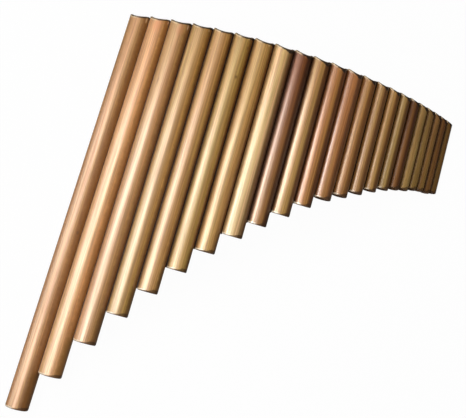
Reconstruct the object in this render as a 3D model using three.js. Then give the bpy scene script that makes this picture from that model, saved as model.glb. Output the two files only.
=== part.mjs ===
// A curved pan flute: 22 bamboo pipes side by side on an arc, each closed by a cork stopper that
// slides in its bore to tune the note. It lies as on a table, resting on the undersides of its two
// end pipes, with the bulging side up.
// Axes: +X toward the shortest pipe, +Y along the pipes toward their mouths, +Z up.
// The origin is under the middle of the row, on the surface that the flute lies on.

import * as THREE from 'three';

// Driving sizes, in millimetres
const widestPipe = 17.9; // outside diameter
const narrowestPipe = 8.4;
const bassWall = 2;
const trebleWall = 1;
const rowRadius = 247; // of the arc that the pipes' axes stand on
const seamGap = 0.5; // the glue line between neighbours
const footFlare = 1.2; // how much wider the most flared pipe is at its foot
const bassColumn = 293.7; // air column of the lowest note, a quarter of its wave
const longestTail = 26.5; // tube that goes on past its stopper
const stopperLength = 6;
const stopperClearance = 0.3;
const stopperChamfer = 0.5;
const mouthEase = 0.3; // edge broken round the mouth
const footRound = 0.8; // edge rounded round the foot

// Counts and angles
const pipeCount = 22;
const sides = 24; // flats round a pipe
const footSteps = 2;
const bevelAngle = THREE.MathUtils.degToRad(27); // blowing edge, cut back on the bulging side

// A major scale from its fifth note, in semitones above the lowest pipe, again in each octave
const scaleSteps = [0, 2, 4, 5, 7, 9, 10];
const octave = 12;

// The open mouth makes the air act a little longer than the bore is, by this share of its width
const mouthCorrectionShare = 0.3;

// Width of each pipe between the narrowest, 0, and the widest, 1
const widthShares = [
  0.97, 0.98, 1, 0.93, 0.84, 0.79, 0.79, 0.78, 0.68, 0.66, 0.6,
  0.54, 0.45, 0.38, 0.33, 0.27, 0.2, 0.13, 0.06, 0.03, 0.01, 0,
];

// Tube left past each stopper, of the longest such tail: the feet are cut to one even curve
const tailShares = [
  0.93, 1, 0.94, 0.44, 0.49, 0.51, 0.17, 0.23, 0.31, 0.37, 0.16,
  0.21, 0.35, 0.28, 0.38, 0.48, 0.57, 0.58, 0.67, 0.79, 0.83, 0.9,
];

// Flare of the pipes that widen toward the foot, of the greatest flare: the rest are straight
const flareShares = [0, 1, 0.4];

// Finishes, by the tone of the cane
const tones = {
  tan: 0xbe9164,
  orange: 0xcd9b6e,
  rose: 0xbe8a69,
  olive: 0xa88e5c,
  gold: 0xb98c5a,
  pale: 0xe0c28c,
  umber: 0x7c4c34,
  brown: 0x735437,
};
const pipeTones = [
  'tan', 'orange', 'rose', 'olive', 'tan', 'gold', 'tan', 'pale', 'umber', 'gold', 'gold',
  'rose', 'brown', 'olive', 'orange', 'olive', 'umber', 'olive', 'brown', 'brown', 'brown', 'brown',
];
const pipeRoughness = 0.35;
const corkColor = 0xb98a5c;
const corkRoughness = 0.9;

// Everything that is worked out for pipe i, counted from 0 at the longest
function pipeSizes(i) {
  const width = narrowestPipe + (widestPipe - narrowestPipe) * widthShares[i];
  const wall = bassWall + (trebleWall - bassWall) * (i / (pipeCount - 1));
  const radius = width / 2;
  const bore = radius - wall;
  const semitones = scaleSteps[i % scaleSteps.length] + octave * Math.floor(i / scaleSteps.length);
  const column = bassColumn * 2 ** (-semitones / octave);
  const depth = column - mouthCorrectionShare * 2 * bore;
  const length = depth + stopperLength + longestTail * tailShares[i];
  const flare = footFlare * (flareShares[i] ?? 0) / 2;
  return { radius, bore, depth, length, flare };
}

// Stand the pipes on the arc, neighbours a seam apart, and turn the arc until both end pipes'
// undersides are level. turn is the angle from the top of the arc to a pipe.
function placeOnArc(pipes) {
  let turn = 0;
  pipes.forEach((pipe, i) => {
    if (i > 0) {
      const pitch = pipes[i - 1].radius + seamGap + pipe.radius;
      turn += 2 * Math.asin(pitch / (2 * rowRadius));
    }
    pipe.turn = turn;
  });
  const first = pipes[0];
  const last = pipes[pipes.length - 1];
  const half = last.turn / 2;
  const level = Math.asin((first.radius - last.radius) / (2 * rowRadius * Math.sin(half)));
  pipes.forEach((pipe) => {
    pipe.turn += level - half;
    pipe.x = rowRadius * Math.sin(pipe.turn);
    pipe.z = rowRadius * Math.cos(pipe.turn);
  });
}

// A pipe that widens pushes the feet of the pipes beyond it outward: lean is how far a pipe's axis
// goes toward -X for each unit toward its foot
function leanOutward(pipes) {
  let lean = 0;
  for (let i = pipes.length - 2; i >= 0; i -= 1) {
    const pipe = pipes[i];
    const next = pipes[i + 1];
    const seamTurn = (pipe.turn + next.turn) / 2;
    lean += (pipe.flare / pipe.length + next.flare / next.length) / Math.cos(seamTurn);
    pipe.lean = lean;
  }
  pipes[pipes.length - 1].lean = 0;
}

// Outline of a tube's wall, closed on itself, from the mouth at height 0 down to the foot
function tubeOutline({ radius, bore, length, flare }) {
  const footRadius = radius + flare;
  const points = [new THREE.Vector2(bore, -length)];
  for (let k = 0; k <= footSteps; k += 1) {
    const angle = (Math.PI / 2) * (k / footSteps);
    const across = footRadius - footRound * (1 - Math.sin(angle));
    const up = footRound * (1 - Math.cos(angle)) - length;
    points.push(new THREE.Vector2(across, up));
  }
  points.push(new THREE.Vector2(radius, -mouthEase));
  points.push(new THREE.Vector2(radius - mouthEase, 0));
  points.push(new THREE.Vector2(bore, 0));
  points.push(points[0].clone());
  return points;
}

// Cut the blowing edge: on the bulging side the mouth falls away from the pipe's axis
function cutBlowingEdge(geometry, turn) {
  const place = geometry.attributes.position;
  for (let k = 0; k < place.count; k += 1) {
    const outward = place.getX(k) * Math.sin(turn) + place.getZ(k) * Math.cos(turn);
    if (place.getY(k) >= -mouthEase && outward > 0) {
      place.setY(k, place.getY(k) - outward * Math.tan(bevelAngle));
    }
  }
}

function makePipe(pipe, i) {
  const geometry = new THREE.LatheGeometry(tubeOutline(pipe), sides, pipe.turn);
  cutBlowingEdge(geometry, pipe.turn);
  geometry.applyMatrix4(new THREE.Matrix4().makeShear(0, 0, pipe.lean, 0, 0, 0));
  geometry.computeVertexNormals();
  const material = new THREE.MeshStandardMaterial({
    color: tones[pipeTones[i]],
    roughness: pipeRoughness,
    metalness: 0,
  });
  const mesh = new THREE.Mesh(geometry, material);
  mesh.name = `pipe_${String(i + 1).padStart(2, '0')}`;
  mesh.position.set(pipe.x, 0, pipe.z);
  return mesh;
}

// A short cork with both edges broken, its upper face where the air column ends
function makeStopper(pipe, i) {
  const radius = pipe.bore - stopperClearance;
  const outline = [
    new THREE.Vector2(0, -stopperLength),
    new THREE.Vector2(radius - stopperChamfer, -stopperLength),
    new THREE.Vector2(radius, stopperChamfer - stopperLength),
    new THREE.Vector2(radius, -stopperChamfer),
    new THREE.Vector2(radius - stopperChamfer, 0),
    new THREE.Vector2(0, 0),
  ];
  const geometry = new THREE.LatheGeometry(outline, sides, pipe.turn);
  const material = new THREE.MeshStandardMaterial({
    color: corkColor,
    roughness: corkRoughness,
    metalness: 0,
  });
  const mesh = new THREE.Mesh(geometry, material);
  mesh.name = `stopper_${String(i + 1).padStart(2, '0')}`;
  mesh.position.set(pipe.x - pipe.lean * pipe.depth, -pipe.depth, pipe.z);
  return mesh;
}

const pipes = Array.from({ length: pipeCount }, (_, i) => pipeSizes(i));
placeOnArc(pipes);
leanOutward(pipes);

// Put the origin under the middle of the row's box
const lowX = Math.min(...pipes.map((pipe) => pipe.x - pipe.radius - pipe.flare - pipe.lean * pipe.length));
const highX = Math.max(...pipes.map((pipe) => pipe.x + pipe.radius));
const lowZ = Math.min(...pipes.map((pipe) => pipe.z - pipe.radius));
const rowLength = Math.max(...pipes.map((pipe) => pipe.length));

const flute = new THREE.Group();
flute.name = 'pan_flute';
flute.position.set(-(lowX + highX) / 2, rowLength / 2, -lowZ);
pipes.forEach((pipe, i) => flute.add(makePipe(pipe, i), makeStopper(pipe, i)));

export default flute;
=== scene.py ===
import math

import bpy
import numpy as np
from mathutils import Matrix, Vector


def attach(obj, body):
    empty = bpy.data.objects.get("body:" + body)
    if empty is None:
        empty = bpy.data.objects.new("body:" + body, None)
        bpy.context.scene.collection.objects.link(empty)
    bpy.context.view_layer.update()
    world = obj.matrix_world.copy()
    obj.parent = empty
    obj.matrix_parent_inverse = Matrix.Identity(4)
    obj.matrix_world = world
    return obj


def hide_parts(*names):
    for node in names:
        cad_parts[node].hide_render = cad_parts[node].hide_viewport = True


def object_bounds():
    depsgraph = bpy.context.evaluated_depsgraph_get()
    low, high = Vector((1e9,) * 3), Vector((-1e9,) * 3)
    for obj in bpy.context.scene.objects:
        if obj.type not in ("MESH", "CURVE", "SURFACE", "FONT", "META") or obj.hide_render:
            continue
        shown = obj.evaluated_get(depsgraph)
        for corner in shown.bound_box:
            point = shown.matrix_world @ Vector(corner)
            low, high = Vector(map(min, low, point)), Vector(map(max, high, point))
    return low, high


# A curved pan flute of lacquered bamboo pipes, glued side by side on an arc, with a cork in each bore.
# It lies on a white table with its bulging side up.
# Sizes are in metres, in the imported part's frame: +X toward the shortest pipe, +Y along the pipes
# toward their mouths, +Z up from the table. Pipe 1 is the longest, and right is toward +X. An angle
# round a pipe is measured from straight up toward the right, unless it is said to be from outward,
# which is the direction in which the row bulges at that pipe.

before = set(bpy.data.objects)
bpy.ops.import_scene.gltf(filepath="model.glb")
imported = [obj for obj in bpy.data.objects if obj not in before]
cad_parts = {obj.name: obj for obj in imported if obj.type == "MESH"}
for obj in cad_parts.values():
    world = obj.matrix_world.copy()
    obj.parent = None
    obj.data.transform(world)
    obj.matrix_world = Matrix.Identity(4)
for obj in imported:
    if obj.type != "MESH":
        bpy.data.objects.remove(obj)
cad_low, cad_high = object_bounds()

MM = 0.001

# How the pipes were cut
BEVEL = math.radians(31)  # blowing edge, cut back on the bulging side
BEVEL_TURN = math.radians(9)  # how far it faces from outward, to the right
BEVEL_START = 0.22  # how far from the axis it starts where outward is up, as a share of the radius
BEVEL_START_GAIN = 0.3  # and how much further for each radian that outward is turned to the left
MOUTH_EASE = 0.3 * MM
BORE_EASE = 0.2 * MM
FOOT_ROUND = 0.6  # rounding of the foot, as a share of the wall
# The feet that weren't cut square, and how far they slant up toward the table, in degrees
FOOT_SLANTS = {6: 3, 7: 4, 8: 8, 9: 9, 10: 9, 11: 9, 12: 4, 13: 4, 14: 5, 15: 5, 16: 5}

# How evenly the cane grew
OVAL = 0.028  # how far a pipe is out of round for a shine turn of 1, as a share of the radius
SHINE_SIDE = math.radians(-30)  # the side of a round pipe that the shine is on
WALL_WAVES = 0.004  # unevenness of the outside, as a share of the radius
BORE_WAVES = 0.006
WAVE_TURN = 9.0  # how far the crests wander round the pipe, in radians for each metre along it
BORE_OFFSET = 0.05 * MM

# Glue lines
GLUE_BELOW_MOUTH = 0.05 * MM
GLUE_ABOVE_FOOT = 0.6 * MM
GLUE_FRONT = 1.7 * MM  # how far the glue fills the valley on the bulging side of the pipes' axes
GLUE_BACK = 2.6 * MM
GLUE_HOLLOW = 0.45  # how far the middles of those two faces sink, as a share of that
GLUE_GRIP = 0.06 * MM  # how deep its sides go into the cane, so that no light passes
GLUE_WAVES = 0.25 * MM
GLUE_WAVE_GAIN = 40  # how many times faster than the cane's its waves go by
GLUE_END = 0.6 * MM  # length over which it thins out at both ends

# Corks
CORK_SWELL = 0.08 * MM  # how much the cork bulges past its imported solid, into the clearance
CORK_CROWN = 0.25 * MM
CORK_BEVEL = 0.5 * MM
CORK_CENTRE = 0.08  # where the rows of an end face start, as a share of its radius
CORK_WAVES = 0.006
CORK_PITS = 26
PIT_WIDTH = 0.45 * MM
PIT_SPREAD = (0.5, 1.2)  # narrowest and widest pit, as shares of that width
PIT_DEPTH = 0.22 * MM

# Mesh counts
ROUND = 96
EDGE_STEPS = 5
WALL_STEPS = 40
BORE_STEPS = 24
GLUE_STEPS = 140
GLUE_SIDE_STEPS = 7
GLUE_FACE_STEPS = 6
CORK_STEPS = 9

PIPE_SEED = 100
GLUE_SEED = 300

# The cane of each pipe, from the longest to the shortest: colour near the mouth, colour near the foot,
# how thick its lacquer is, how far its oval section turns the shine, to the right where it is positive,
# and how dark the painted shade on its flanks is
CANE_TRAITS = ("near_mouth", "near_foot", "lacquer", "shine_turn", "flank_stain")
CANE = [
    ((168, 122, 70), (170, 122, 72), 0.25, 0.2, 0),
    ((200, 148, 94), (200, 150, 96), 0.38, 1.9, 0),
    ((180, 136, 86), (182, 136, 86), 0.42, 1.9, 0),
    ((176, 136, 76), (172, 134, 76), 0.42, 1.9, 0),
    ((180, 136, 78), (182, 140, 82), 0.42, 1.9, 0),
    ((180, 142, 78), (184, 148, 84), 0.4, 1.9, 0.4),
    ((190, 146, 82), (194, 150, 86), 0.4, 1.9, 0.45),
    ((220, 178, 120), (228, 190, 136), 0.45, -0.5, 0.8),
    ((120, 68, 30), (156, 110, 56), 0.56, -0.3, 0.9),
    ((182, 136, 76), (194, 148, 84), 0.7, -0.9, 0.9),
    ((178, 118, 58), (180, 122, 62), 0.68, -1.1, 0.9),
    ((180, 118, 62), (180, 122, 64), 0.85, -3.0, 0.8),
    ((176, 124, 68), (172, 122, 66), 0.43, 0.6, 0.75),
    ((178, 132, 74), (180, 134, 76), 0.75, 0.8, 0.9),
    ((188, 140, 74), (182, 138, 74), 0.68, 0.9, 0.95),
    ((180, 140, 80), (182, 144, 82), 0.8, 0.9, 0.95),
    ((116, 72, 32), (138, 92, 44), 0.43, 0.3, 0.88),
    ((162, 129, 74), (166, 132, 76), 0.1, -0.3, 0),
    ((136, 102, 56), (148, 114, 60), 0.1, 0.2, 0),
    ((133, 96, 52), (142, 106, 54), 0.1, 0.0, 0),
    ((112, 74, 36), (118, 80, 38), 0.1, -0.2, 0),
    ((110, 78, 36), (116, 84, 40), 0.1, 0.1, 0),
]

# Factors on the red, green and blue of a cane's own colour, then those of the painted shade in the valleys
# and of the painted light on the right flanks
DARK_FIBRE = (0.58, 0.5, 0.4)
LIGHT_FIBRE = (1.2, 1.2, 1.2)
GREEN_BAND = (0.96, 1.0, 0.9)
RED_BAND = (1.04, 0.99, 1.0)
VALLEY_SHADE = (0.42, 0.35, 0.26)
FLANK_LIGHT = (1.5, 1.48, 1.1)

# The painted shade on a right flank, the side turned away from the lamps: the sines of the angles at which
# it starts and is full, and its factors
FLANK_SHADE = (0.2, 0.55, (0.2, 0.12, 0.04))
TURNED_FLANK_SHADE = (-0.05, 0.4, (0.3, 0.19, 0.05))
FIRST_TURNED_FLANK = 13  # from this pipe on, the turned painted shade
LEFT_SHADED = range(9, 13)  # pipes with painted shade on the left flank too
LEFT_SHADE = (52, 30, 20)
LIT_FLANKS = {1: 1.0, 2: 1.0, 3: 0.6, 4: 0.8, 5: 0.5, 6: 0.8, 7: 0.3}  # how strongly painted light brightens the right flanks

# Marks in the cane, and painted highlights (the bright streaks and the glints): the pipe, how far below
# its mouth and at what angle, in millimetres and degrees, half the mark's width and length, and what it is
MARKS = [
    (1, 181.9, 27, 1.6, 2.2, "knot"),
    (3, 52.5, -31, 0.5, 4.0, "knot"),
    (6, 11.0, 34, 1.8, 2.6, "knot"),
    (6, 36.0, 14, 1.8, 2.6, "knot"),
    (2, 8.0, -8, 5.0, 9.0, "blush"),
    (3, 8.5, 4, 4.5, 8.0, "blush"),
    # Painted highlights: a bright line on the left flank of pipe 4 and a bright dot on pipe 5
    (4, 31.0, -56, 1.6, 22.0, "painted_highlight"),
    (5, 18.2, -54, 0.9, 1.0, "painted_highlight"),
    # Painted highlights near the right shoulders of the mouths
    (1, 3.6, 34, 1.0, 3.2, "painted_glint"),
    (2, 3.0, 44, 0.9, 2.6, "painted_glint"),
    (3, 4.6, 38, 1.1, 3.6, "painted_glint"),
    (4, 4.2, 36, 0.9, 1.2, "painted_glint"),
    (6, 4.0, 25, 1.1, 1.3, "painted_glint"),
    (7, 4.7, 25, 1.2, 1.3, "painted_glint"),
    (8, 4.6, 24, 1.0, 1.1, "painted_glint"),
    (9, 5.0, 9, 1.2, 1.4, "painted_glint"),
    (10, 4.3, 14, 1.3, 1.3, "painted_glint"),
    (11, 4.6, 1, 1.3, 1.3, "painted_glint"),
    (12, 4.0, -9, 1.2, 1.2, "painted_glint"),
    (13, 4.0, -11, 1.1, 1.1, "painted_glint"),
]
# The factors of a mark or painted highlight, and how strongly it shows
MARK_LOOKS = {
    "knot": ((0.32, 0.25, 0.16), 0.8),
    "blush": ((1.08, 0.82, 0.72), 0.7),
    "painted_highlight": ((1.6, 1.8, 2.3), 1.0),
    "painted_glint": ((1.6, 2.0, 3.0), 1.0),
}

# The ends of the pipes: the colours of the pale band and of the dark line, and how strongly each shows.
# The dark line is painted shade; the pale band is painted light, and on the feet partly bare worn cane too
MOUTH_LIGHT, MOUTH_LIGHT_SHARE = (236, 208, 164), 0.7
MOUTH_SHADE, MOUTH_SHADE_SHARE = (34, 20, 10), 0.95
WORN_LIT_FOOT = (250, 232, 202)
WORN_LIT_FOOT_SHARES = dict.fromkeys(range(1, 12), 0.8) | dict.fromkeys(range(12, 17), 0.5)  # the rest aren't
FOOT_SHADE, FOOT_SHADE_SHARE = (70, 44, 20), 0.75
# The sine of the angle at which the dark line of painted shade starts to widen, and how dark it is round
# the whole rim
MOUTH_SHOULDERS = dict.fromkeys(range(1, 8), 0.5) | dict.fromkeys(range(8, 23), 0.0)
MOUTH_RIMS = dict.fromkeys(range(1, 9), 0.85) | dict.fromkeys(range(9, 23), 0.5)
FOOT_SHOULDER = -0.1

# Lacquer
THICK_LACQUER = 0.43  # from this thickness on, its shine is broader
THICK_ROUGHNESS = 0.31
THIN_ROUGHNESS = 0.27
COAT_IOR = 1.6  # with no thickness, and how much more with all of it
COAT_IOR_GAIN = 0.5
# The pipes with less gloss near the mouth, by how far below it the gloss is least and is full, and what
# share of it is left
DULL_MOUTHS = dict.fromkeys(range(1, 8), (15 * MM, 110 * MM, 0.0))
DULL_MOUTHS |= dict.fromkeys(range(8, 11), (0.0, 50 * MM, 0.3))

# Camera, at the photograph's viewing angle
EYE = Vector((-0.1067, -0.0642, 0.6387))
TURN = math.radians(7.90)
TILT = math.radians(8.61)
ROLL = math.radians(15.75)
SENSOR = 36.0
LENS = 61.8

# Lamps: name, place, what it faces, size across and along Y, watts, whether it lights what it shines on
# and whether it shows as a reflection
LAMPS = [
    ("shine", (-0.26, -0.02, 0.20), (-0.02, -0.02, 0.03), (0.15, 0.50), 2.3, False, True),
    ("side_shine", (-0.60, -0.02, 0.20), (-0.02, -0.02, 0.06), (0.40, 0.50), 4.1, False, True),
    ("high_shine", (-0.34, -0.02, 0.48), (-0.02, -0.02, 0.04), (0.26, 0.50), 1.9, False, True),
    ("window", (-0.45, 0.05, 0.83), (0.0, 0.05, 0.03), (0.6, 1.2), 8.8, True, False),
    ("fill", (0.90, 0.0, 0.16), (0.08, 0.0, 0.02), (0.3, 0.8), 1.1, True, False),
    ("under", (0.0, 0.0, -0.80), (0.0, 0.0, 0.0), (0.9, 0.9), 7.0, True, True),
]
WHITE = (1.0, 1.0, 1.0, 1.0)
WORLD_LEVEL = 0.08
TABLE_HALF = 2.5
TABLE_GLOW = 0.97  # share of the table that shows as plain white to the camera: the rest takes the shadow


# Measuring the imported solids

def node_points(node):
    """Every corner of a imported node, once."""
    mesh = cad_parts[node].data
    points = np.empty(3 * len(mesh.vertices))
    mesh.vertices.foreach_get("co", points)
    return np.unique(points.reshape(-1, 3).round(6), axis=0)


def measure_pipe(node):
    """The axis and radii of a packed pipe. The corners near its mouth stand evenly round the axis, and so
    do those near its foot, so the middle of each lot lies on the axis."""
    points = node_points(node)
    foot_y, mouth_y = points[:, 1].min(), points[:, 1].max()
    upper = points[:, 1] > (foot_y + mouth_y) / 2
    pipe = {"foot_y": foot_y, "mouth_y": mouth_y}
    for end, near in (("mouth", upper), ("foot", ~upper)):
        flat = points[near][:, [0, 2]]
        pipe[end] = flat.mean(0)
        reach = np.linalg.norm(flat - pipe[end], axis=1)
        pipe[end + "_radius"] = reach.max()
        pipe["bore"] = reach.min()
    return pipe


def arc_middle(a, b, c):
    """Middle of the circle through three points, where the lines that halve its chords meet."""
    return np.linalg.solve(2 * np.array([b - a, c - a]), [b @ b - a @ a, c @ c - a @ a])


def measure_row():
    """All the pipes, from the longest to the shortest. Each has its traits from CANE, and its turn is the
    angle of its outward direction."""
    names = sorted(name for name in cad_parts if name.startswith("pipe_"))
    row = [measure_pipe(name) for name in names]
    middle = arc_middle(*[row[k]["mouth"] for k in (0, len(row) // 2, -1)])
    for name, pipe, cane in zip(names, row, CANE):
        pipe["label"] = name.removeprefix("pipe_")
        pipe["number"] = int(pipe["label"])
        pipe["turn"] = math.atan2(*(pipe["mouth"] - middle))
        pipe["left_neighbour"], pipe["right_neighbour"] = pipe is not row[0], pipe is not row[-1]
        pipe.update(zip(CANE_TRAITS, cane))
    return row


def axis_at(pipe, y):
    """X and Z of a pipe's axis, and its radius, at the heights y."""
    share = (y - pipe["foot_y"]) / (pipe["mouth_y"] - pipe["foot_y"])
    x, z = (pipe["foot"][k] + (pipe["mouth"][k] - pipe["foot"][k]) * share for k in (0, 1))
    radius = pipe["foot_radius"] + (pipe["mouth_radius"] - pipe["foot_radius"]) * share
    return x, z, radius


def point_on(pipe, y, from_top):
    """The point of a pipe's outside at the height y and at an angle from straight up."""
    x, z, radius = axis_at(pipe, y)
    return x + radius * math.sin(from_top), y, z + radius * math.cos(from_top)


# Meshes

def skin(name, rows, body, materials, bands=None, ring=False):
    """A closed surface over rows of points: rows[i, j] is point j round row i, and each row meets itself.
    With ring the last row meets the first, as on a tube's wall. Otherwise each end row is closed by a fan
    on its middle. bands gives the material number of the faces between one row and the next."""
    count, around = rows.shape[:2]
    j = np.arange(around)
    after = (j + 1) % around
    lower = np.arange(count if ring else count - 1)
    upper = (lower + 1) % count
    corners = [lower[:, None] * around + j, lower[:, None] * around + after]
    corners += [upper[:, None] * around + after, upper[:, None] * around + j]
    quads = np.stack(corners, -1).reshape(-1, 4)
    points = rows.reshape(-1, 3)
    fans = np.empty((0, 3), int)
    if not ring:
        points = np.vstack([points, rows[0].mean(0), rows[-1].mean(0)])
        first, last = count * around, count * around + 1
        end = (count - 1) * around
        start_fan = np.stack([np.full(around, first), after, j], -1)
        end_fan = np.stack([np.full(around, last), end + j, end + after], -1)
        fans = np.vstack([start_fan, end_fan])
    a, b, c, d = (points[quads[:, k]] for k in range(4))
    volume = (np.cross(a, b) * c).sum() + (np.cross(a, c) * d).sum()
    if volume < 0:
        quads, fans = quads[:, ::-1], fans[:, ::-1]
    loops = np.concatenate([quads.ravel(), fans.ravel()])
    sizes = np.concatenate([np.full(len(quads), 4), np.full(len(fans), 3)])
    mesh = bpy.data.meshes.new(name)
    mesh.vertices.add(len(points))
    mesh.vertices.foreach_set("co", points.ravel())
    mesh.loops.add(len(loops))
    mesh.loops.foreach_set("vertex_index", loops)
    mesh.polygons.add(len(sizes))
    mesh.polygons.foreach_set("loop_start", np.concatenate([[0], np.cumsum(sizes)[:-1]]))
    for material in materials:
        mesh.materials.append(material)
    if bands is not None:
        mesh.polygons.foreach_set("material_index", np.repeat(bands, around))
    mesh.update(calc_edges=True)
    mesh.validate()
    mesh.polygons.foreach_set("use_smooth", np.ones(len(sizes), bool))
    piece = bpy.data.objects.new(name, mesh)
    bpy.context.scene.collection.objects.link(piece)
    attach(piece, body)
    return piece


def waves(angle, along, rng, size):
    """Slow unevenness of a grown cane, as a share of its radius: waves round the pipe, each with its own
    crest, that wander along it."""
    total = 0
    for turns in range(2, 6):
        crest, wander = rng.uniform(0, math.tau), rng.uniform(-WAVE_TURN, WAVE_TURN)
        total = total + size / turns * np.cos(turns * angle + crest + wander * along)
    return total


def eased(share):
    """Shares from 0 to 1 that lie closer together near both ends."""
    return (1 - np.cos(np.pi * share)) / 2


def rim_height(pipe, angle, distance):
    """Height of a pipe's mouth at an angle from outward and a distance from the axis. The bevel falls
    away from where it starts: there it is lower by (distance cos(angle - its turn) - start) tan(bevel)."""
    start = (BEVEL_START - BEVEL_START_GAIN * pipe["turn"]) * pipe["mouth_radius"]
    beyond = np.maximum(0, distance * np.cos(angle - BEVEL_TURN) - start)
    return pipe["mouth_y"] - beyond * math.tan(BEVEL)


def sole_height(pipe, angle, distance):
    """Height of a pipe's foot there. A slanted foot is higher by (radius - distance cos(angle from
    straight up)) tan(slant), so it rises toward the table."""
    slant = math.radians(FOOT_SLANTS.get(pipe["number"], 0))
    toward_table = pipe["foot_radius"] - distance * np.cos(angle + pipe["turn"])
    return pipe["foot_y"] + toward_table * math.tan(slant)


def tube_profile(pipe, angle):
    """The wall of a pipe in rows of points: down the outside, round the foot, up the bore and over the
    rim. Gives how far each point is from the axis and how high it is, at the angles from outward."""
    radius, foot_radius, bore = pipe["mouth_radius"], pipe["foot_radius"], pipe["bore"]
    foot_round = FOOT_ROUND * (radius - bore)
    quarter = np.linspace(0, math.pi / 2, EDGE_STEPS)[:, None]
    wall_top = rim_height(pipe, angle, radius) - MOUTH_EASE
    wall_foot = sole_height(pipe, angle, foot_radius) + foot_round
    bore_top = rim_height(pipe, angle, bore) - BORE_EASE
    bore_foot = sole_height(pipe, angle, bore) + BORE_EASE

    share = eased(np.linspace(0, 1, WALL_STEPS))[:, None]
    blocks = [(radius + (foot_radius - radius) * share, wall_top + (wall_foot - wall_top) * share)]
    outer = quarter[1:]
    across = foot_radius - foot_round * (1 - np.cos(outer))
    blocks.append((across, sole_height(pipe, angle, across) + foot_round * (1 - np.sin(outer))))
    across = bore + BORE_EASE * (1 - np.sin(quarter))
    blocks.append((across, sole_height(pipe, angle, across) + BORE_EASE * (1 - np.cos(quarter))))
    share = eased(np.linspace(0, 1, BORE_STEPS))[1:-1, None]
    blocks.append((bore, bore_foot + (bore_top - bore_foot) * share))
    blocks.append((bore + BORE_EASE * (1 - np.cos(quarter)), bore_top + BORE_EASE * np.sin(quarter)))
    outer = quarter[:0:-1]
    across = radius - MOUTH_EASE * (1 - np.cos(outer))
    blocks.append((across, rim_height(pipe, angle, across) - MOUTH_EASE * (1 - np.sin(outer))))
    blocks = [np.broadcast_arrays(*block) for block in blocks]
    return [np.vstack(part) for part in zip(*blocks)]


def make_tube(pipe, materials, rng):
    """One pipe, slightly oval and uneven, with its bore a little off the middle. Its materials are the
    outside's, the sawn ends' and the bore's, and they meet in the middle of each edge. Its points keep
    the measures that the outside is coloured by."""
    angle = np.linspace(0, math.tau, ROUND, endpoint=False)
    from_top = angle + pipe["turn"]
    across, high = tube_profile(pipe, angle)

    outside = (across - pipe["bore"]) / (pipe["mouth_radius"] - pipe["bore"])
    along = pipe["mouth_y"] - high
    wall_wave = waves(angle, along, rng, WALL_WAVES)
    bore_wave = waves(angle, along, rng, BORE_WAVES)
    oval = OVAL * pipe["shine_turn"] * np.sin(2 * (from_top - SHINE_SIDE))
    across = across * (1 + outside * (wall_wave + oval) + (1 - outside) * bore_wave)
    shift = BORE_OFFSET * (1 - outside)
    shift_angle = rng.uniform(0, math.tau)
    x, z, _ = axis_at(pipe, high)
    x = x + across * np.sin(from_top) + shift * math.cos(shift_angle)
    z = z + across * np.cos(from_top) + shift * math.sin(shift_angle)
    rows = np.clip(np.stack([x, high, z], -1), cad_low, cad_high)

    half_edge = EDGE_STEPS // 2
    inside = BORE_STEPS - 2 + EDGE_STEPS
    counts = [WALL_STEPS - 1 + half_edge, EDGE_STEPS, inside, EDGE_STEPS, half_edge]
    bands = np.repeat([0, 1, 2, 1, 0], counts)
    node = f"pipe_{pipe['label']}"
    tube = skin(f"tube_{pipe['label']}", rows, "pipe_row", materials, bands, ring=True)
    has_neighbour = np.where(np.sin(angle) > 0, pipe["right_neighbour"], pipe["left_neighbour"])
    measures = {
        "beside": has_neighbour * abs(np.sin(angle)),
        "below_rim": rim_height(pipe, angle, pipe["mouth_radius"]) - high,
        "above_foot": high - sole_height(pipe, angle, pipe["foot_radius"]),
        "toward_right": np.sin(from_top),
    }
    for measure, values in measures.items():
        attribute = tube.data.attributes.new(measure, "FLOAT", "POINT")
        attribute.data.foreach_set("value", np.broadcast_to(values, high.shape).ravel())
    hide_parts(node)


def make_glue(left, right, material, rng):
    """The glue in the valley between two pipes. At each height its section lies between the two circles,
    with hollow faces in front and behind, and it thins out to a line at both ends. It goes on the pipe
    row's body with the tubes, for the record has none for glue."""
    top = min(left["mouth_y"], right["mouth_y"]) - GLUE_BELOW_MOUTH
    low = max(left["foot_y"], right["foot_y"]) + GLUE_ABOVE_FOOT
    y = low + (top - low) * eased(np.linspace(0, 1, GLUE_STEPS))
    left_x, left_z, left_radius = axis_at(left, y)
    right_x, right_z, right_radius = axis_at(right, y)
    toward = np.stack([right_x - left_x, right_z - left_z], -1)
    apart = np.linalg.norm(toward, axis=1)
    toward = toward / apart[:, None]
    front = np.stack([-toward[:, 1], toward[:, 0]], -1)

    wobble = GLUE_WAVES * waves(0, GLUE_WAVE_GAIN * y, rng, 1.0)
    end_share = np.minimum(1, np.minimum(y - low, top - y) / GLUE_END)
    thin = np.sqrt(1 - (1 - end_share) ** 2)
    rise = np.linspace(-1, 1, GLUE_SIDE_STEPS)
    reach = np.where(rise < 0, GLUE_BACK, GLUE_FRONT)
    height = rise * ((reach + wobble[:, None]) * thin[:, None])
    on_left = np.sqrt((left_radius[:, None] - GLUE_GRIP) ** 2 - height**2)
    on_right = apart[:, None] - np.sqrt((right_radius[:, None] - GLUE_GRIP) ** 2 - height**2)
    share = np.linspace(0, 1, GLUE_FACE_STEPS)[1:-1]
    sunk = 1 - GLUE_HOLLOW * np.sin(np.pi * share)
    in_front = on_left[:, -1:] + (on_right[:, -1:] - on_left[:, -1:]) * share
    behind = on_right[:, :1] + (on_left[:, :1] - on_right[:, :1]) * share
    u = np.hstack([on_left, in_front, on_right[:, ::-1], behind])
    w = np.hstack([height, height[:, -1:] * sunk, height[:, ::-1], height[:, :1] * sunk])
    x = left_x[:, None] + u * toward[:, :1] + w * front[:, :1]
    z = left_z[:, None] + u * toward[:, 1:] + w * front[:, 1:]
    rows = np.stack([x, np.broadcast_to(y[:, None], x.shape), z], -1)
    skin(f"glue_{left['label']}", rows, "pipe_row", [material])


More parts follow.
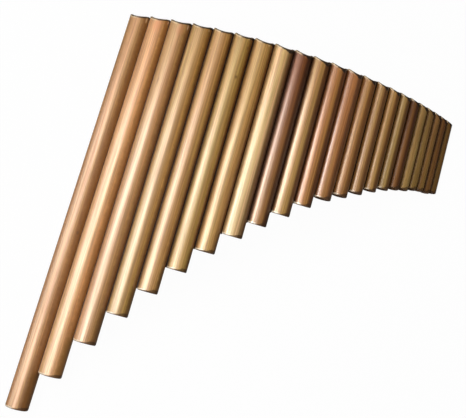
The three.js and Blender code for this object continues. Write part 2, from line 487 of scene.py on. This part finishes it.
def make_cork(pipe, material, rng):
    """A short cork: a disc, crowned and bevelled at both ends, with the small pits that cork has. A pit
    takes its depth times exp(-(distance / width)^2) off the surface, toward the cork's middle."""
    node = f"stopper_{pipe['label']}"
    points = node_points(node)
    low, high = points.min(0), points.max(0)
    middle = (low + high) / 2
    radius = np.linalg.norm((points - middle)[:, [0, 2]], axis=1).max() + CORK_SWELL
    half = (high[1] - low[1]) / 2

    angle = np.linspace(0, math.tau, ROUND, endpoint=False)
    share = np.linspace(CORK_CENTRE, 1, CORK_STEPS)[:-1]
    turn = np.linspace(math.pi / 2, 0, EDGE_STEPS)
    flat, straight = radius - CORK_BEVEL, half - CORK_BEVEL
    end_out = np.concatenate([share * flat, flat + CORK_BEVEL * np.cos(turn)])
    end_up = np.concatenate([half + CORK_CROWN * (1 - share**2), straight + CORK_BEVEL * np.sin(turn)])
    side = np.linspace(-1, 1, CORK_STEPS)[1:-1] * straight
    out = np.concatenate([end_out, np.full(len(side), radius), end_out[::-1]])
    up = np.concatenate([-end_up, side, end_up[::-1]])[:, None]
    spread = out[:, None] * (1 + waves(angle, up, rng, CORK_WAVES))
    rows = np.stack([spread * np.cos(angle), up + 0 * spread, spread * np.sin(angle)], -1)

    away = rows / np.linalg.norm(rows, axis=-1, keepdims=True)
    for _ in range(CORK_PITS):
        pit = rows[rng.integers(len(rows)), rng.integers(ROUND)]
        distance = np.linalg.norm(rows - pit, axis=-1)
        width = PIT_WIDTH * rng.uniform(*PIT_SPREAD)
        rows = rows - away * (PIT_DEPTH * np.exp(-((distance / width) ** 2)))[..., None]
    cork = skin(f"cork_{pipe['label']}", rows + middle, node, [material])
    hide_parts(node)


# Shader building

def linear(red, green, blue):
    """A colour written as it shows, from 0 to 255, as the shader's linear RGBA."""
    shown = np.array([red, green, blue]) / 255
    value = np.where(shown <= 0.04045, shown / 12.92, ((shown + 0.055) / 1.055) ** 2.4)
    return (*[float(v) for v in value], 1.0)


def new_node(tree, kind, *sockets, **settings):
    """A new node. Each socket is its name or number with a plain value or the output that feeds it."""
    made = tree.nodes.new(kind)
    for name, value in settings.items():
        setattr(made, name, value)
    for name, value in sockets:
        if isinstance(value, bpy.types.NodeSocket):
            tree.links.new(value, made.inputs[name])
        else:
            made.inputs[name].default_value = value
    return made


def add(tree, kind, *sockets, out=0, **settings):
    """One output of a new node, by its name or number."""
    return new_node(tree, kind, *sockets, **settings).outputs[out]


def calc(tree, operation, a, b=0.0):
    """One step of arithmetic."""
    return add(tree, "ShaderNodeMath", (0, a), (1, b), operation=operation)


def between(tree, value, low, high, to_low=0.0, to_high=1.0):
    """value taken from low..high to to_low..to_high, smoothly, and held at both ends."""
    sockets = [("Value", value), ("From Min", low), ("From Max", high)]
    sockets += [("To Min", to_low), ("To Max", to_high)]
    return add(tree, "ShaderNodeMapRange", *sockets, interpolation_type="SMOOTHSTEP")


def blend(tree, factor, a, b, how="MIX"):
    """Colour a mixed with colour b. The node's sockets are numbered, for its colours share their names."""
    sockets = [(0, factor), (6, a), (7, b)]
    return add(tree, "ShaderNodeMix", *sockets, out=2, data_type="RGBA", blend_type=how)


def tinted(tree, colour, factors):
    """A colour times a factor for each channel."""
    return blend(tree, 1.0, colour, (*factors, 1.0), "MULTIPLY")


def cover(tree, colour, over, mask, strength=1.0):
    """A colour with another over it where the mask is 1, as strongly as is said."""
    return blend(tree, calc(tree, "MULTIPLY", mask, strength), colour, over)


def noise(tree, place, scale, detail, roughness=0.5):
    """Cloudy noise, from 0 to 1."""
    sockets = [("Vector", place), ("Scale", scale), ("Detail", detail), ("Roughness", roughness)]
    return add(tree, "ShaderNodeTexNoise", *sockets)


def roughened(tree, value, place, scale, detail, size):
    """A value with noise added, half its size either way."""
    rough = calc(tree, "SUBTRACT", noise(tree, place, scale, detail), 0.5)
    return calc(tree, "ADD", value, calc(tree, "MULTIPLY", rough, size))


def measured(tree, name):
    """One of the measures that make_tube leaves on its points."""
    return add(tree, "ShaderNodeAttribute", out="Fac", attribute_name=name)


def new_group(name, vectors, values, results):
    """An empty shader node group that takes vectors and values and gives values, all by name: the group,
    what its input node gives and what its output node takes."""
    group = bpy.data.node_groups.new(name, "ShaderNodeTree")
    for socket in vectors:
        group.interface.new_socket(socket, in_out="INPUT", socket_type="NodeSocketVector")
    for socket in values:
        group.interface.new_socket(socket, in_out="INPUT", socket_type="NodeSocketFloat")
    for socket in results:
        group.interface.new_socket(socket, in_out="OUTPUT", socket_type="NodeSocketFloat")
    given = group.nodes.new("NodeGroupInput").outputs
    taken = group.nodes.new("NodeGroupOutput").inputs
    return group, given, taken


def use(tree, group, **inputs):
    """All the outputs of a group placed in a tree."""
    return list(new_node(tree, "ShaderNodeGroup", *inputs.items(), node_tree=group).outputs)


def fibres_group():
    """Cane fibres: noise drawn out along the pipes, as streaks, as thin threads and as broad bands. Width
    and Length are a thread's."""
    noises = {"Streaks": (3.0, 3.0, 0.6), "Threads": (1.0, 2.0, 0.7), "Bands": (9.0, 1.0, 0.5)}
    group, given, taken = new_group("cane fibres", ["Place"], ["Width", "Length"], noises)
    for name, (times, detail, roughness) in noises.items():
        across = calc(group, "MULTIPLY", given["Width"], times)
        along = calc(group, "MULTIPLY", given["Length"], times)
        size = add(group, "ShaderNodeCombineXYZ", ("X", across), ("Y", along), ("Z", across))
        place = add(group, "ShaderNodeVectorMath", (0, given["Place"]), (1, size), operation="DIVIDE")
        group.links.new(noise(group, place, 1.0, detail, roughness), taken[name])
    return group


def mark_group():
    """A soft-edged spot, 1 at its centre: drawn out along the pipe, with an uneven edge."""
    group, given, taken = new_group("cane mark", ["Place", "Centre"], ["Width", "Length"], ["Mask"])
    place, centre, width, length = (given[name] for name in ("Place", "Centre", "Width", "Length"))
    from_centre = add(group, "ShaderNodeVectorMath", (0, place), (1, centre), operation="SUBTRACT")
    size = add(group, "ShaderNodeCombineXYZ", ("X", width), ("Y", length), ("Z", width))
    scaled = add(group, "ShaderNodeVectorMath", (0, from_centre), (1, size), operation="DIVIDE")
    away = add(group, "ShaderNodeVectorMath", (0, scaled), out="Value", operation="LENGTH")
    uneven = calc(group, "ADD", away, calc(group, "MULTIPLY", noise(group, scaled, 2.0, 2.0), 0.6))
    group.links.new(between(group, uneven, 0.5, 1.3, 1.0, 0.0), taken["Mask"])
    return group


def grime_and_shade_group():
    """A mask, 1 where the value Depth is high, broken up by noise: painted shade in the valleys between the
    pipes, and dust on the glue.
    """
    group, given, taken = new_group("grime_and_shade", ["Place"], ["Depth", "Grain"], ["Mask"])
    broken = roughened(group, given["Depth"], given["Place"], given["Grain"], 3.0, 0.5)
    group.links.new(between(group, broken, 0.2, 1.0), taken["Mask"])
    return group


def end_group():
    """The edge of a mouth or foot: a dark line of painted shade, which widens to the right and is thin
    round
    the rest, and a pale band on the left: painted light, and on the feet partly bare worn cane. Away is how
    far a point is from the rim, Right is the sine of its angle, Shoulder is the Right at which the line
    starts to widen, and Rim is how dark its thin part is."""
    values = ["Away", "Right", "Shoulder", "Rim"]
    group, given, taken = new_group("cane end", ["Place"], values, ["Dark", "Pale"])
    away = roughened(group, given["Away"], given["Place"], 700.0, 2.0, 0.8 * MM)
    past_shoulder = calc(group, "SUBTRACT", given["Right"], given["Shoulder"])
    widening = between(group, past_shoulder, 0.0, 0.6, 0.0, 1.8 * MM)
    line = between(group, calc(group, "SUBTRACT", away, widening), 0.6 * MM, 1.3 * MM, 1.0, 0.0)
    line = calc(group, "MULTIPLY", line, between(group, given["Right"], -0.55, -0.15))
    rim = between(group, away, 0.2 * MM, 0.7 * MM, given["Rim"], 0.0)
    group.links.new(calc(group, "MAXIMUM", line, rim), taken["Dark"])
    pale_band = between(group, away, 0.8 * MM, 1.8 * MM, 1.0, 0.0)
    on_left = between(group, given["Right"], -0.5, -0.1, 1.0, 0.0)
    group.links.new(calc(group, "MULTIPLY", pale_band, on_left), taken["Pale"])
    return group


def new_material(name):
    """A material with only its shader: the tree, the Principled shader and the object's own coordinates."""
    material = bpy.data.materials.new(name)
    material.use_nodes = True
    tree = material.node_tree
    shader = next(node for node in tree.nodes if node.type == "BSDF_PRINCIPLED")
    place = add(tree, "ShaderNodeTexCoord", out="Object")
    return material, tree, shader, place


def dress(tree, shader, colour, roughness, height, strength, depth):
    """What every material of the flute has: a colour, a roughness, and a fine relief of a height, a
    strength and a depth."""
    bump = add(tree, "ShaderNodeBump", ("Height", height), ("Strength", strength), ("Distance", depth))
    for name, value in (("Base Color", colour), ("Roughness", roughness), ("Normal", bump)):
        tree.links.new(value, shader.inputs[name])


# Materials

def fibre_colour(tree, tint, streaks, threads, bands):
    """The tint of a cane with lighter and darker fibres, and bands that are greener and redder."""
    dark = tinted(tree, tint, DARK_FIBRE)
    light = tinted(tree, tint, LIGHT_FIBRE)
    colour = blend(tree, 0.6, tint, blend(tree, between(tree, streaks, 0.36, 0.6), dark, light))
    hue = blend(tree, between(tree, bands, 0.38, 0.62), (*GREEN_BAND, 1.0), (*RED_BAND, 1.0))
    colour = blend(tree, 1.0, colour, hue, "MULTIPLY")
    return cover(tree, colour, dark, between(tree, threads, 0.54, 0.7, 0.0, 0.5))


def shade_and_light_sides(tree, colour, tint, pipe, own, groups):
    """Painted shade in the valleys beside a pipe and on its flanks, and painted light on the right flanks
    of the first pipes.
    """
    number, right = pipe["number"], measured(tree, "toward_right")
    # Painted shade in the valleys beside the pipe, broken up by noise
    depth = between(tree, measured(tree, "beside"), 0.5, 1.0, 0.0, 1.1)
    [grime_and_shade] = use(tree, groups["grime_and_shade"], Place=own, Depth=depth, Grain=300.0)
    colour = cover(tree, colour, tinted(tree, tint, VALLEY_SHADE), grime_and_shade)
    # Painted shade on the right flank, the side turned away from the lamps
    start, full, factors = FLANK_SHADE if number < FIRST_TURNED_FLANK else TURNED_FLANK_SHADE
    shaded_flank = tinted(tree, tint, factors)
    colour = cover(tree, colour, shaded_flank, between(tree, right, start, full), pipe["flank_stain"])
    # Painted light on the right flanks of the first pipes
    if number in LIT_FLANKS:
        lit_flank = tinted(tree, colour, FLANK_LIGHT)
        colour = cover(tree, colour, lit_flank, between(tree, right, 0.15, 0.65), LIT_FLANKS[number])
    # Painted shade on the left flank, next to the valley
    if number in LEFT_SHADED:
        on_left = between(tree, right, -0.97, -0.78, 1.0, 0.0)
        colour = cover(tree, colour, linear(*LEFT_SHADE), on_left, pipe["flank_stain"])
    return colour


def add_marks(tree, colour, tint, pipe, place, groups):
    """The marks in a pipe's cane, and the highlights painted on it."""
    for number, below, degrees, width, length, kind in MARKS:
        if number == pipe["number"]:
            centre = point_on(pipe, pipe["mouth_y"] - below * MM, math.radians(degrees))
            sizes = {"Width": width * MM, "Length": length * MM}
            [mark] = use(tree, groups["mark"], Place=place, Centre=centre, **sizes)
            factors, strength = MARK_LOOKS[kind]
            # Some marks are painted highlights
            colour = cover(tree, colour, tinted(tree, tint, factors), mark, strength)
    return colour


def paint_end_light_and_shade(tree, colour, pipe, place, groups):
    """The pale band and the dark line of a pipe's mouth, and those of its foot: painted light and painted
    shade, with bare worn cane in the pale band of the feet too.
    """
    number = pipe["number"]
    edge = {"Place": place, "Right": measured(tree, "toward_right")}
    mouth = {"Shoulder": MOUTH_SHOULDERS[number], "Rim": MOUTH_RIMS[number]}
    dark, pale = use(tree, groups["end"], Away=measured(tree, "below_rim"), **edge, **mouth)
    # Painted light on the left of the mouth, and painted shade along its rim, widening to the right
    colour = cover(tree, colour, linear(*MOUTH_LIGHT), pale, MOUTH_LIGHT_SHARE)
    colour = cover(tree, colour, linear(*MOUTH_SHADE), dark, MOUTH_SHADE_SHARE)
    foot = {"Shoulder": FOOT_SHOULDER, "Rim": 0.0}
    dark, pale = use(tree, groups["end"], Away=measured(tree, "above_foot"), **edge, **foot)
    # At the foot: a pale band, partly bare worn cane and partly painted light, and a line of painted shade
    if number in WORN_LIT_FOOT_SHARES:
        colour = cover(tree, colour, linear(*WORN_LIT_FOOT), pale, WORN_LIT_FOOT_SHARES[number])
    return cover(tree, colour, linear(*FOOT_SHADE), dark, FOOT_SHADE_SHARE)


def add_lacquer(tree, shader, pipe, streaks):
    """Clear gloss lacquer, which has sunk into the darker fibres and is dull near some mouths."""
    thickness = pipe["lacquer"]
    gloss = between(tree, streaks, 0.35, 0.6, 0.5 * thickness, thickness)
    if pipe["number"] in DULL_MOUTHS:
        start, full, least = DULL_MOUTHS[pipe["number"]]
        share = between(tree, measured(tree, "below_rim"), start, full, least, 1.0)
        gloss = calc(tree, "MULTIPLY", gloss, share)
    tree.links.new(gloss, shader.inputs["Coat Weight"])
    roughness = THICK_ROUGHNESS if thickness >= THICK_LACQUER else THIN_ROUGHNESS
    shader.inputs["Coat Roughness"].default_value = roughness
    shader.inputs["Coat IOR"].default_value = COAT_IOR + COAT_IOR_GAIN * thickness


def lacquered_cane(pipe, groups, rng):
    """The outside of a pipe: long fibres in the pipe's two tints under clear gloss lacquer, with painted
    shade, light and highlights on it.
    """
    material, tree, shader, place = new_material(f"lacquered_cane_{pipe['label']}")
    offset = tuple(rng.uniform(-1, 1, 3))
    own = add(tree, "ShaderNodeMapping", ("Vector", place), ("Location", offset))
    streaks, threads, bands = use(tree, groups["fibres"], Place=own, Width=0.35 * MM, Length=22 * MM)
    y = add(tree, "ShaderNodeSeparateXYZ", ("Vector", place), out="Y")
    toward_mouth = between(tree, y, pipe["foot_y"], pipe["mouth_y"])
    tint = blend(tree, toward_mouth, linear(*pipe["near_foot"]), linear(*pipe["near_mouth"]))
    colour = fibre_colour(tree, tint, streaks, threads, bands)
    colour = shade_and_light_sides(tree, colour, tint, pipe, own, groups)
    colour = add_marks(tree, colour, tint, pipe, place, groups)
    colour = paint_end_light_and_shade(tree, colour, pipe, place, groups)
    add_lacquer(tree, shader, pipe, streaks)
    height = calc(tree, "ADD", calc(tree, "MULTIPLY", threads, 0.4), streaks)
    dress(tree, shader, colour, between(tree, streaks, 0.3, 0.7, 0.56, 0.44), height, 0.25, 0.05 * MM)
    return material


def cut_cane(groups):
    """Sawn and sanded ends: brown wood with the dark dots of the fibre bundles."""
    material, tree, shader, place = new_material("cut_cane")
    streaks, threads, bands = use(tree, groups["fibres"], Place=place, Width=0.22 * MM, Length=30 * MM)
    colour = blend(tree, between(tree, streaks, 0.35, 0.65), linear(92, 64, 40), linear(132, 98, 64))
    colour = cover(tree, colour, linear(70, 46, 28), between(tree, threads, 0.52, 0.7, 0.0, 0.7))
    dress(tree, shader, colour, between(tree, bands, 0.3, 0.7, 0.5, 0.7), threads, 0.4, 0.08 * MM)
    return material


def bore_cane(groups):
    """The bare inside wall: dull tan, darkened to brown as painted shade inside the bore, ribbed
    lengthwise.
    """
    material, tree, shader, place = new_material("bore_cane")
    streaks, threads, bands = use(tree, groups["fibres"], Place=place, Width=0.3 * MM, Length=15 * MM)
    # Darker than the bare cane of the ends: painted shade inside the bore
    colour = blend(tree, between(tree, streaks, 0.3, 0.7), linear(84, 54, 30), linear(126, 88, 52))
    colour = cover(tree, colour, linear(68, 42, 24), between(tree, bands, 0.45, 0.7, 0.0, 0.5))
    dress(tree, shader, colour, between(tree, threads, 0.3, 0.7, 0.6, 0.8), streaks, 0.5, 0.1 * MM)
    return material


def dried_glue(groups):
    """Brown glue that has taken up dust."""
    material, tree, shader, place = new_material("dried_glue")
    [grime_and_shade] = use(tree, groups["grime_and_shade"], Place=place, Depth=0.5, Grain=700.0)
    colour = blend(tree, grime_and_shade, linear(52, 33, 20), linear(38, 26, 18))
    height = noise(tree, place, 900.0, 3.0)
    dress(tree, shader, colour, between(tree, grime_and_shade, 0.0, 1.0, 0.3, 0.6), height, 0.3, 0.1 * MM)
    return material


def bare_cork():
    """Cork: warm tan cells with dark pores."""
    material, tree, shader, place = new_material("bare_cork")
    cells = add(tree, "ShaderNodeTexVoronoi", ("Vector", place), ("Scale", 1400.0))
    cloud = noise(tree, place, 500.0, 4.0, 0.65)
    colour = blend(tree, between(tree, cloud, 0.35, 0.65), linear(150, 106, 66), linear(206, 162, 112))
    colour = cover(tree, colour, linear(78, 46, 26), between(tree, cloud, 0.3, 0.4, 0.8, 0.0))
    colour = cover(tree, colour, linear(120, 78, 46), between(tree, cells, 0.2, 0.6, 0.0, 0.25))
    height = calc(tree, "SUBTRACT", cloud, calc(tree, "MULTIPLY", cells, 0.4))
    dress(tree, shader, colour, between(tree, cloud, 0.3, 0.7, 0.95, 0.8), height, 0.6, 0.2 * MM)
    return material


# Stage

def white_table():
    """A white table that shows as white to the camera and keeps a soft shadow. It casts little light back
    on the flute. From below it isn't there, and the lamp under it shines through."""
    mesh = bpy.data.meshes.new("table")
    signs = [(-1, -1), (1, -1), (1, 1), (-1, 1)]
    mesh.from_pydata([(TABLE_HALF * x, TABLE_HALF * y, 0) for x, y in signs], [], [(0, 1, 2, 3)])
    table = bpy.data.objects.new("table", mesh)
    bpy.context.scene.collection.objects.link(table)
    material = bpy.data.materials.new("white_table")
    material.use_nodes = True
    tree = material.node_tree
    tree.nodes.clear()
    seen = add(tree, "ShaderNodeLightPath", out="Is Camera Ray")
    colour = blend(tree, seen, linear(120, 117, 112), linear(240, 240, 240))
    lit = add(tree, "ShaderNodeBsdfDiffuse", ("Color", colour))
    glow = add(tree, "ShaderNodeEmission", ("Color", WHITE), ("Strength", 1.0))
    share = calc(tree, "MULTIPLY", seen, TABLE_GLOW)
    shown = add(tree, "ShaderNodeMixShader", (0, share), (1, lit), (2, glow))
    clear = add(tree, "ShaderNodeBsdfTransparent")
    below = add(tree, "ShaderNodeNewGeometry", out="Backfacing")
    toward_lamp = add(tree, "ShaderNodeLightPath", out="Is Shadow Ray")
    passed = calc(tree, "MAXIMUM", below, toward_lamp)
    both = add(tree, "ShaderNodeMixShader", (0, passed), (1, shown), (2, clear))
    new_node(tree, "ShaderNodeOutputMaterial", ("Surface", both))
    mesh.materials.append(material)


def add_lamp(name, place, faces, size, watts, lights, reflects):
    """A soft rectangular lamp, out of the camera's sight. Its second size lies along Y."""
    data = bpy.data.lights.new(name, "AREA")
    data.shape = "RECTANGLE"
    data.size, data.size_y = size
    data.energy = watts
    lamp = bpy.data.objects.new(name, data)
    lamp.visible_camera, lamp.visible_diffuse, lamp.visible_glossy = False, lights, reflects
    bpy.context.scene.collection.objects.link(lamp)
    back = (Vector(place) - Vector(faces)).normalized()
    side = Vector((0, 1, 0)).cross(back).normalized()
    turn = Matrix((side, back.cross(side), back)).transposed().to_4x4()
    lamp.matrix_world = Matrix.Translation(place) @ turn


def set_world():
    """Dim even light from all round, and white where the camera sees past the table."""
    world = bpy.data.worlds.new("studio")
    bpy.context.scene.world = world
    world.use_nodes = True
    tree = world.node_tree
    tree.nodes.clear()
    dim = add(tree, "ShaderNodeBackground", ("Color", linear(255, 253, 250)), ("Strength", WORLD_LEVEL))
    white = add(tree, "ShaderNodeBackground", ("Color", WHITE), ("Strength", 1.0))
    seen = add(tree, "ShaderNodeLightPath", out="Is Camera Ray")
    both = add(tree, "ShaderNodeMixShader", (0, seen), (1, dim), (2, white))
    new_node(tree, "ShaderNodeOutputWorld", ("Surface", both))


def set_camera():
    """The camera where the photograph was taken from."""
    data = bpy.data.cameras.new("camera")
    data.sensor_width = SENSOR
    data.lens = LENS
    data.clip_start, data.clip_end = 0.01, 20.0
    camera = bpy.data.objects.new("camera", data)
    bpy.context.scene.collection.objects.link(camera)
    turns = Matrix.Rotation(-TURN, 4, "Y") @ Matrix.Rotation(TILT, 4, "X") @ Matrix.Rotation(ROLL, 4, "Z")
    camera.matrix_world = Matrix.Translation(EYE) @ turns
    bpy.context.scene.camera = camera


def main():
    bpy.context.scene.view_settings.view_transform = "Standard"
    set_camera()
    set_world()
    for settings in LAMPS:
        add_lamp(*settings)
    white_table()

    groups = {"fibres": fibres_group(), "mark": mark_group(), "grime_and_shade": grime_and_shade_group(), "end": end_group()}
    cut, bore, glue, cork = cut_cane(groups), bore_cane(groups), dried_glue(groups), bare_cork()
    row = measure_row()
    for k, pipe in enumerate(row):
        rng = np.random.default_rng(PIPE_SEED + k)
        outside = lacquered_cane(pipe, groups, rng)
        make_tube(pipe, [outside, cut, bore], rng)
        make_cork(pipe, cork, rng)
    for k, (left, right) in enumerate(zip(row, row[1:])):
        make_glue(left, right, glue, np.random.default_rng(GLUE_SEED + k))


main()
